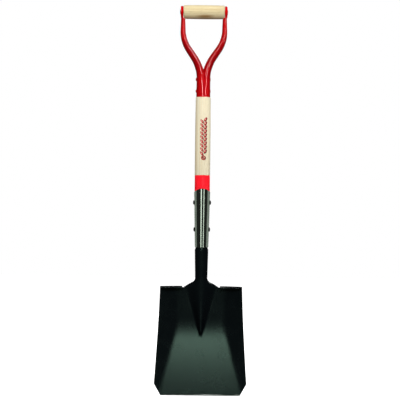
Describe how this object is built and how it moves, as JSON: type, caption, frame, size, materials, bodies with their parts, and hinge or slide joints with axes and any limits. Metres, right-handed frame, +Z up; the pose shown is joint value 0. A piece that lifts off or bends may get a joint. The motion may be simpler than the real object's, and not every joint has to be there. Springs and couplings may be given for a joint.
{
  "type": "square point shovel",
  "caption": "D-handled square point shovel: pressed steel blade with foot treads and a rolled socket, wooden shaft, steel collar and a riveted steel yoke holding a turning wooden grip.",
  "frame": {"origin": "middle of the grip's underside, where a hook carries the hanging shovel", "axes": "+Z up along the shaft from blade to grip, +X to the right across the blade and along the grip, blade's load side facing -Y"},
  "size_m": [0.2418, 0.0892, 1.0264],
  "materials": {
    "blade": "black baked enamel, semi-gloss",
    "collar": "bright hammered plate",
    "collar_rivet": "black enamel, semi-gloss",
    "shaft": "clear-lacquered pale ash, straight grain",
    "band": "satin red film",
    "yoke": "gloss red enamel",
    "yoke_rivet": "gloss red enamel over steel",
    "grip": "sanded hardwood, thin clear lacquer",
    "rod": "steel, heads enamelled with the yoke"
  },
  "bodies": {
    "tool": {"blade": "blade", "collar": "collar", "collar_rivet_upper": "collar_rivet", "collar_rivet_lower": "collar_rivet", "shaft": "shaft", "shaft_band": "band", "yoke": "yoke", "yoke_rivet_upper": "yoke_rivet", "yoke_rivet_lower": "yoke_rivet", "grip_rod": "rod"},
    "grip": {"grip": "grip"}
  },
  "joints": [
    {"name": "grip_spin", "type": "hinge", "parent": "tool", "child": "grip", "pos_m": [0, 0, 0.0185], "axis": [1, 0, 0], "continuous": true}
  ]
}
